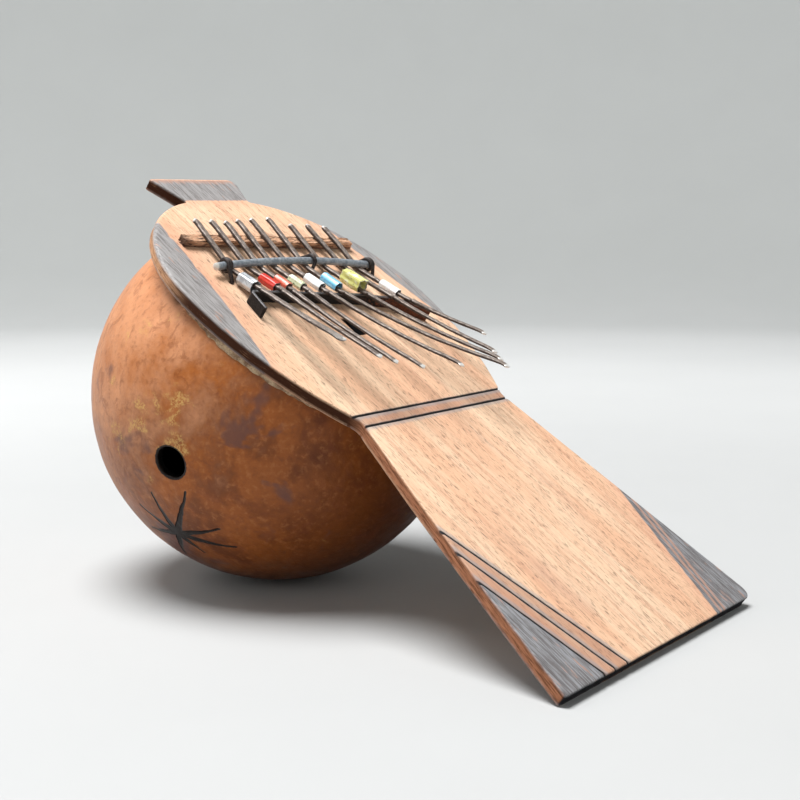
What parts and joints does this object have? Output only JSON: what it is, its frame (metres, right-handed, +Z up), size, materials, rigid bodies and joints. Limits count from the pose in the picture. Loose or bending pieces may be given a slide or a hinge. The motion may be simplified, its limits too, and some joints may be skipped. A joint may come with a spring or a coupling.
{
  "type": "gourd mbira",
  "caption": "Thumb piano: hammered iron tines under a wired pressure bar on a flat wooden soundboard, glued to a round hollow gourd resonator.",
  "frame": {"origin": "middle of the footprint's bounding box, on the surface that the instrument stands on", "axes": "+Y along the board's long axis on the ground, from the handle end towards the gourd; +Z up; +X to the right when looking along +Y"},
  "size_m": [0.1843, 0.3037, 0.1951],
  "materials": {
    "board_wood": "bare, sanded, with burnt black grooves and burnt grey areas",
    "gourd": "dried gourd rind, mottled orange-brown, slight sheen",
    "glue": "dull resin bead",
    "bridge_wood": "rough split wood",
    "bridge_iron": "black and rust-brown hoop iron",
    "galvanised_rod": "dull galvanised",
    "tie_wire": "black annealed wire",
    "tine_iron": "hammered, dark, bright at the tips",
    "bare_tin": "satin",
    "red_tin": "glossy print, worn",
    "coral_tin": "glossy print, worn",
    "green_tin": "glossy print, worn",
    "white_tin": "glossy print, worn",
    "blue_tin": "glossy print, worn",
    "yellow_tin": "glossy print, worn"
  },
  "bodies": {
    "root": {"soundboard": "board_wood", "gourd_resonator": "gourd", "glue_bead": "glue", "rear_bridge": "bridge_wood", "front_bridge": "bridge_iron", "pressure_bar": "galvanised_rod", "tie_wire_left": "tie_wire", "tie_wire_middle": "tie_wire", "tie_wire_right": "tie_wire", "tine_1_clamped": "tine_iron", "tine_2_clamped": "tine_iron", "tine_3_clamped": "tine_iron", "tine_4_clamped": "tine_iron", "tine_5_clamped": "tine_iron", "tine_6_clamped": "tine_iron", "tine_7_clamped": "tine_iron", "tine_8_clamped": "tine_iron", "tine_9_clamped": "tine_iron"},
    "tine_1": {"tine_1_free": "tine_iron"},
    "tine_2": {"tine_2_free": "tine_iron"},
    "tine_3": {"tine_3_free": "tine_iron"},
    "tine_4": {"tine_4_free": "tine_iron"},
    "tine_5": {"tine_5_free": "tine_iron"},
    "tine_6": {"tine_6_free": "tine_iron"},
    "tine_7": {"tine_7_free": "tine_iron"},
    "tine_8": {"tine_8_free": "tine_iron"},
    "tine_9": {"tine_9_free": "tine_iron"},
    "sleeve_1": {"buzzer_sleeve_1": "bare_tin"},
    "sleeve_2": {"buzzer_sleeve_2": "red_tin"},
    "sleeve_3": {"buzzer_sleeve_3": "coral_tin"},
    "sleeve_4": {"buzzer_sleeve_4": "green_tin"},
    "sleeve_5": {"buzzer_sleeve_5": "white_tin"},
    "sleeve_6": {"buzzer_sleeve_6": "blue_tin"},
    "sleeve_7": {"buzzer_sleeve_7": "yellow_tin"},
    "sleeve_9": {"buzzer_sleeve_9": "white_tin"}
  },
  "joints": [
    {"name": "tine_1_flex", "type": "hinge", "parent": "root", "child": "tine_1", "pos_m": [-0.04236, 0.0334, 0.1446], "axis": [-0.9953, 0.0794, 0.056], "range_deg": [-4, 4], "stiffness_Nm_per_rad": 0.3},
    {"name": "tine_2_flex", "type": "hinge", "parent": "root", "child": "tine_2", "pos_m": [-0.02909, 0.03217, 0.14358], "axis": [-0.9979, 0.0531, 0.0375], "range_deg": [-4, 4], "stiffness_Nm_per_rad": 0.3},
    {"name": "tine_3_flex", "type": "hinge", "parent": "root", "child": "tine_3", "pos_m": [-0.02225, 0.0315, 0.14311], "axis": [-0.9958, 0.0751, 0.0529], "range_deg": [-4, 4], "stiffness_Nm_per_rad": 0.3},
    {"name": "tine_4_flex", "type": "hinge", "parent": "root", "child": "tine_4", "pos_m": [-0.01178, 0.03049, 0.1424], "axis": [-0.9981, 0.0503, 0.0355], "range_deg": [-4, 4], "stiffness_Nm_per_rad": 0.3},
    {"name": "tine_5_flex", "type": "hinge", "parent": "root", "child": "tine_5", "pos_m": [0.00064, 0.0293, 0.14158], "axis": [-0.9912, -0.1083, -0.0764], "range_deg": [-4, 4], "stiffness_Nm_per_rad": 0.3},
    {"name": "tine_6_flex", "type": "hinge", "parent": "root", "child": "tine_6", "pos_m": [0.01106, 0.02836, 0.14092], "axis": [-0.9459, -0.2652, -0.1871], "range_deg": [-4, 4], "stiffness_Nm_per_rad": 0.3},
    {"name": "tine_7_flex", "type": "hinge", "parent": "root", "child": "tine_7", "pos_m": [0.02715, 0.02664, 0.13971], "axis": [-0.9735, -0.1868, -0.1317], "range_deg": [-4, 4], "stiffness_Nm_per_rad": 0.3},
    {"name": "tine_8_flex", "type": "hinge", "parent": "root", "child": "tine_8", "pos_m": [0.04458, 0.02314, 0.1373], "axis": [-0.9911, -0.1087, -0.0767], "range_deg": [-4, 4], "stiffness_Nm_per_rad": 0.3},
    {"name": "tine_9_flex", "type": "hinge", "parent": "root", "child": "tine_9", "pos_m": [0.05462, 0.01902, 0.13509], "axis": [-0.968, -0.2051, -0.1446], "range_deg": [-4, 4], "stiffness_Nm_per_rad": 0.3},
    {"name": "sleeve_1_slide", "type": "slide", "parent": "root", "child": "sleeve_1", "axis": [0.1059, 0.9179, 0.3824], "range_m": [-0.0014, 0.0025]},
    {"name": "sleeve_2_slide", "type": "slide", "parent": "root", "child": "sleeve_2", "axis": [0.0527, 0.9108, 0.4095], "range_m": [-0.0018, 0.005]},
    {"name": "sleeve_3_slide", "type": "slide", "parent": "root", "child": "sleeve_3", "axis": [0.1002, 0.9028, 0.4181], "range_m": [-0.0011, 0.005]},
    {"name": "sleeve_4_slide", "type": "slide", "parent": "root", "child": "sleeve_4", "axis": [0.0723, 0.9003, 0.4291], "range_m": [-0.0021, 0.005]},
    {"name": "sleeve_5_slide", "type": "slide", "parent": "root", "child": "sleeve_5", "axis": [0.0377, 0.8988, 0.4368], "range_m": [-0.0017, 0.005]},
    {"name": "sleeve_6_slide", "type": "slide", "parent": "root", "child": "sleeve_6", "axis": [0.0941, 0.8946, 0.4368], "range_m": [-0.0007, 0.005]},
    {"name": "sleeve_7_slide", "type": "slide", "parent": "root", "child": "sleeve_7", "axis": [0.0141, 0.8994, 0.437], "range_m": [-0.0007, 0.005]},
    {"name": "sleeve_9_slide", "type": "slide", "parent": "root", "child": "sleeve_9", "axis": [-0.0147, 0.9007, 0.4342], "range_m": [-0.0025, 0.005]}
  ]
}
